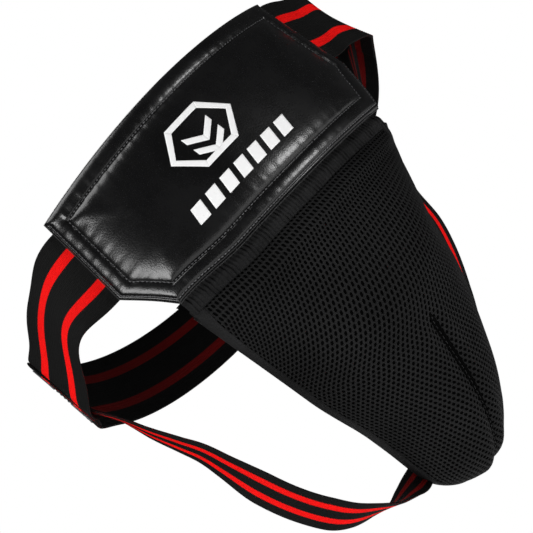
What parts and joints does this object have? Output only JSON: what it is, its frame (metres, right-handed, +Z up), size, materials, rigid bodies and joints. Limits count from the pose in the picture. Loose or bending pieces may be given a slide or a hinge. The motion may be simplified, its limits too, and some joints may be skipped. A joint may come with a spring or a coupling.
{
  "type": "groin protector",
  "caption": "Wearable groin protector: padded waist panel, mesh pouch with a hard cup inside, striped elastic waist band and leg straps.",
  "frame": {"origin": "middle of the waist opening, level with the middle of the front panel", "axes": "+Z up as worn, -Y towards the wearer's front, +X to the viewer's right when the panel is seen from the front"},
  "size_m": [0.3592, 0.2334, 0.3308],
  "materials": {
    "panel_leather": "glossy black polyurethane leather, fine pebble grain",
    "panel_foam": "closed-cell foam sheet",
    "panel_backing": "black knitted backing",
    "thread": "black polyester thread",
    "print_white": "white heat-transfer print",
    "air_mesh": "black three-dimensional air mesh",
    "elastic_striped": "black ribbed elastic with two woven red stripes",
    "cup_plastic": "moulded polypropylene",
    "rim_rubber": "soft rubber edge",
    "lining": "soft black knit lining",
    "binding": "black grosgrain binding",
    "hook_and_loop": "black hook and loop tape",
    "label": "blank woven label"
  },
  "bodies": {
    "panel_and_band": {"panel_face": "panel_leather", "panel_foam": "panel_foam", "panel_backing": "panel_backing", "panel_edge_stitching": "thread", "panel_channel_stitching": "thread", "panel_emblem_print": "print_white", "pouch_top_hem": "air_mesh", "waist_front_left": "elastic_striped", "waist_front_right": "elastic_striped", "waist_back_left": "elastic_striped", "waist_hip_lap_right": "elastic_striped", "closure_loop_patch": "hook_and_loop", "hip_tacks_left": "thread", "hip_tacks_right": "thread", "size_label": "label", "strap_hip_end_left": "elastic_striped", "strap_hip_end_right": "elastic_striped"},
    "pouch": {"pouch_mesh": "air_mesh", "cup_shell": "cup_plastic", "cup_rim": "rim_rubber", "pouch_lining_bowl": "lining", "pouch_lining_border": "lining", "pouch_binding_left": "binding", "pouch_binding_right": "binding", "strap_pouch_end_left": "elastic_striped", "strap_pouch_end_right": "elastic_striped"},
    "belt_right": {"waist_back_right": "elastic_striped", "closure_hook_patch": "hook_and_loop"},
    "strap_left": {"leg_strap_left": "elastic_striped"},
    "strap_right": {"leg_strap_right": "elastic_striped"}
  },
  "joints": [
    {"name": "pouch_swing", "type": "hinge", "parent": "panel_and_band", "child": "pouch", "pos_m": [0, -0.088, -0.07], "axis": [1, 0, 0], "range_deg": [-12, 12], "stiffness_Nm_per_rad": 0.4},
    {"name": "belt_open", "type": "hinge", "parent": "panel_and_band", "child": "belt_right", "pos_m": [0.1696, 0.0018, -0.0169], "axis": [0.1966, 0.0677, -0.9781], "range_deg": [0, 50]},
    {"name": "left_strap_swing", "type": "hinge", "parent": "panel_and_band", "child": "strap_left", "pos_m": [-0.172, -0.006, -0.047], "axis": [1, 0, 0], "range_deg": [-11.5, 11.5]},
    {"name": "right_strap_swing", "type": "hinge", "parent": "panel_and_band", "child": "strap_right", "pos_m": [0.172, -0.006, -0.047], "axis": [1, 0, 0], "range_deg": [-11.5, 11.5]}
  ],
  "couplings": [
    {"joint": "left_strap_swing", "follows": "pouch_swing", "ratio": 0.93},
    {"joint": "right_strap_swing", "follows": "pouch_swing", "ratio": 0.93}
  ]
}
